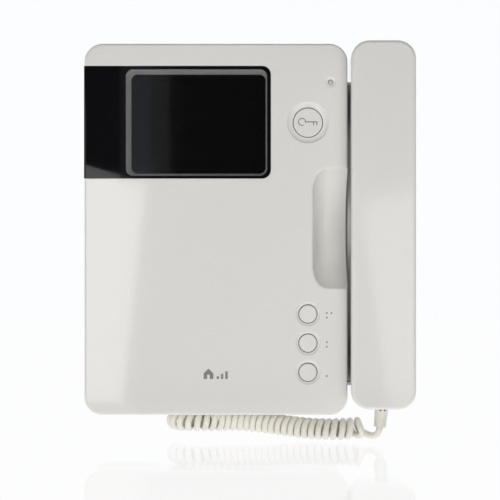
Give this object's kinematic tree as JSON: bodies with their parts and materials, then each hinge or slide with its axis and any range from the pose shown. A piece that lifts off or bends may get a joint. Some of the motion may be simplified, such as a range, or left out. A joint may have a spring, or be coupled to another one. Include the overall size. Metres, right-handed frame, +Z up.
{
  "type": "video intercom monitor",
  "caption": "Wall-hung indoor video door-entry monitor with a smoked screen window, push buttons, a finger scoop and a corded handset hung on its right side.",
  "frame": {"origin": "centre of the wall bracket's four screw holes, in the wall plane, behind the middle of the main body", "axes": "+Z up, +X to the right as the user faces the monitor, +Y into the wall; the wall is the plane Y = 0 and the front faces -Y"},
  "size_m": [0.1989, 0.07, 0.2386],
  "materials": {
    "cover_white": "polished light grey-white ABS",
    "housing_white": "fine-textured light grey-white ABS",
    "handset_white": "polished light grey-white ABS",
    "button_white": "satin light grey-white ABS",
    "window_smoked": "polished smoked acrylic with a printed black border",
    "mask_grey": "dark grey moulding",
    "tube_glass": "clear glass",
    "phosphor": "phosphor coating on its carrier",
    "foam": "soft black foam",
    "ferrite": "grey ferrite with windings",
    "base_plastic": "black moulding",
    "board": "green solder-masked board",
    "component_black": "black moulded components",
    "steel_sheet": "zinc-plated steel",
    "steel_screw": "zinc-plated steel",
    "terminal_green": "green moulding",
    "led_clear": "diffused clear resin",
    "print_grey": "grey print",
    "wheel_grey": "light grey moulding",
    "capsule_metal": "plain can",
    "boot_rubber": "soft black rubber",
    "relief_cream": "cream-white flexible sleeve",
    "cord_cream": "cream-white flexible cord",
    "plug_clear": "clear modular plug"
  },
  "bodies": {
    "monitor": {"wall_bracket": "steel_sheet", "rear_housing": "housing_white", "front_cover": "cover_white", "screen_window": "window_smoked", "screen_mask": "mask_grey", "picture_tube": "tube_glass", "phosphor_screen": "phosphor", "tube_pads": "foam", "deflection_yoke": "ferrite", "tube_base": "base_plastic", "flyback_transformer": "component_black", "upper_keypad_board": "board", "lower_keypad_board": "board", "key_switches": "component_black", "keypad_screws": "steel_screw", "status_led": "led_clear", "main_board": "board", "main_board_screws": "steel_screw", "board_components": "component_black", "call_buzzer": "component_black", "control_pots": "component_black", "terminal_block": "terminal_green", "terminal_screws": "steel_screw", "cover_screws": "steel_screw", "index_dots": "print_grey", "front_emblem": "print_grey", "handset_cradle": "housing_white", "cradle_base": "housing_white", "cradle_screws": "steel_screw", "hook_switch": "component_black", "hook_spring": "steel_screw", "cord_handset_tail": "cord_cream", "cord_coil": "cord_cream", "cord_plug_tail": "cord_cream", "cord_plug": "plug_clear", "cord_jack": "component_black"},
    "handset": {"handset_front_shell": "handset_white", "handset_rear_shell": "handset_white", "handset_screws": "steel_screw", "earpiece_capsule": "capsule_metal", "microphone_capsule": "capsule_metal", "microphone_boot": "boot_rubber", "handset_weight": "steel_sheet", "handset_strain_relief": "relief_cream"},
    "door_release": {"door_release_button": "button_white", "key_symbol": "print_grey"},
    "upper_key": {"upper_button": "button_white"},
    "middle_key": {"middle_button": "button_white"},
    "lower_key": {"lower_button": "button_white"},
    "plunger": {"hook_plunger": "button_white"},
    "brightness_control": {"brightness_wheel": "wheel_grey"},
    "contrast_control": {"contrast_wheel": "wheel_grey"}
  },
  "joints": [
    {"name": "handset_lift", "type": "slide", "parent": "monitor", "child": "handset", "axis": [0, -1, 0], "range_m": [0, 0.06]},
    {"name": "hook_rise", "type": "slide", "parent": "monitor", "child": "plunger", "axis": [0, -1, 0], "range_m": [0, 0.003]},
    {"name": "door_release_press", "type": "slide", "parent": "monitor", "child": "door_release", "axis": [0, 1, 0], "range_m": [0, 0.0012], "stiffness_N_per_m": 100, "springref_m": -0.002},
    {"name": "upper_key_press", "type": "slide", "parent": "monitor", "child": "upper_key", "axis": [0, 1, 0], "range_m": [0, 0.0012], "stiffness_N_per_m": 100, "springref_m": -0.002},
    {"name": "middle_key_press", "type": "slide", "parent": "monitor", "child": "middle_key", "axis": [0, 1, 0], "range_m": [0, 0.0012], "stiffness_N_per_m": 100, "springref_m": -0.002},
    {"name": "lower_key_press", "type": "slide", "parent": "monitor", "child": "lower_key", "axis": [0, 1, 0], "range_m": [0, 0.0012], "stiffness_N_per_m": 100, "springref_m": -0.002},
    {"name": "brightness_turn", "type": "hinge", "parent": "monitor", "child": "brightness_control", "pos_m": [-0.0719, -0.02025, -0.045], "axis": [0, 1, 0], "range_deg": [-135, 135]},
    {"name": "contrast_turn", "type": "hinge", "parent": "monitor", "child": "contrast_control", "pos_m": [-0.0719, -0.02025, -0.066], "axis": [0, 1, 0], "range_deg": [-135, 135]}
  ],
  "couplings": [
    {"joint": "hook_rise", "follows": "handset_lift", "ratio": 0.05}
  ]
}
